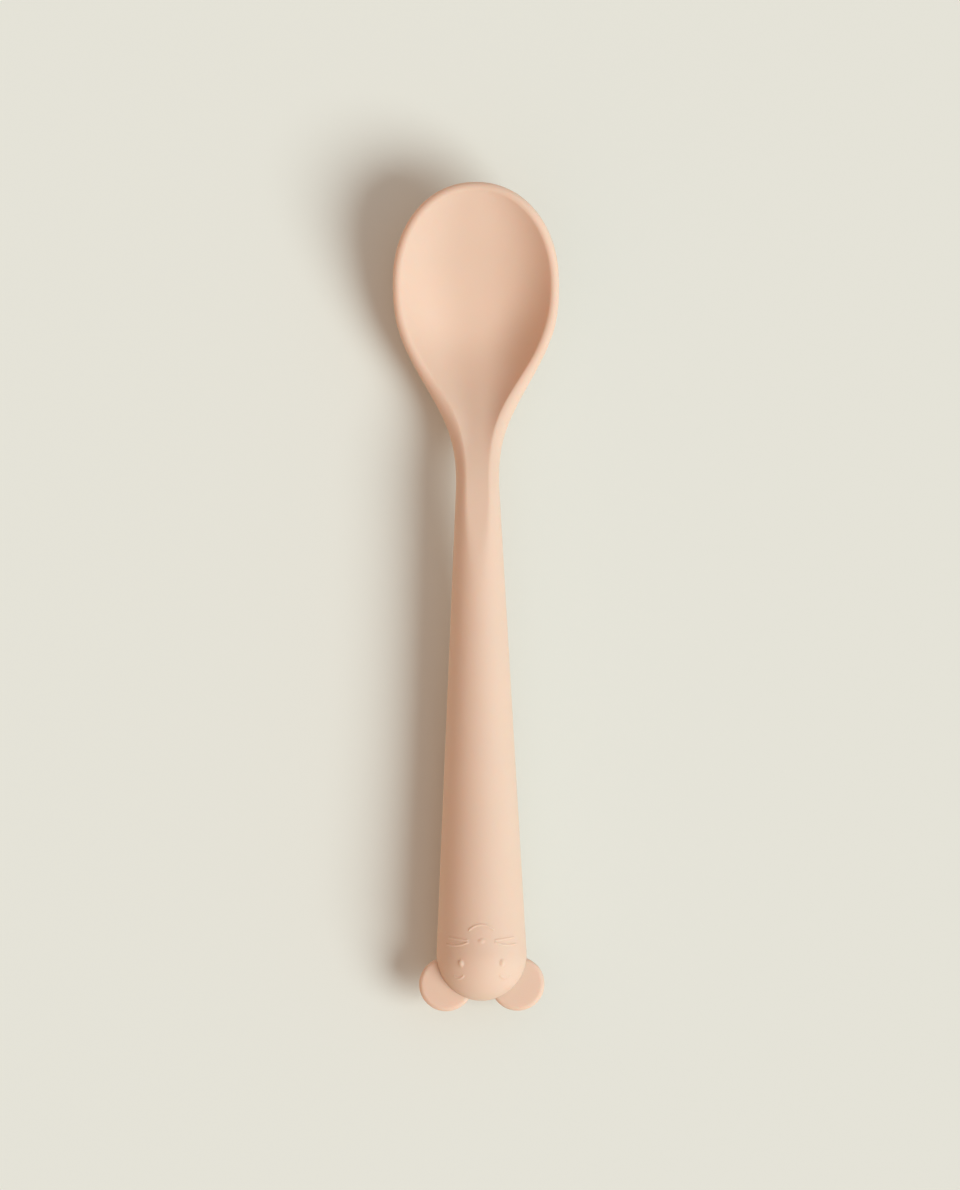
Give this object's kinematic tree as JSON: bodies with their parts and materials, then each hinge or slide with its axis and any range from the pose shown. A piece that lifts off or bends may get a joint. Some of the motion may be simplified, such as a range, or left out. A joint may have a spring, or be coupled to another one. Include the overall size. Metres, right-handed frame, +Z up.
{
  "type": "baby spoon",
  "caption": "Soft silicone baby spoon with a deep oval bowl, a slim neck, a tapering round handle and an animal-face end with flat round ears.",
  "frame": {"origin": "centre of the part's box, on the surface that the spoon lies on", "axes": "+Y from the ears towards the tip of the bowl, +Z up out of the open bowl and the face, +X to the right seen from above with the bowl away"},
  "size_m": [0.029, 0.145, 0.0161],
  "materials": {
    "silicone": "matte",
    "core": "matte"
  },
  "bodies": {
    "root": {"silicone_body": "silicone", "stiffening_core": "core", "left_ear": "silicone", "right_ear": "silicone"}
  },
  "joints": []
}
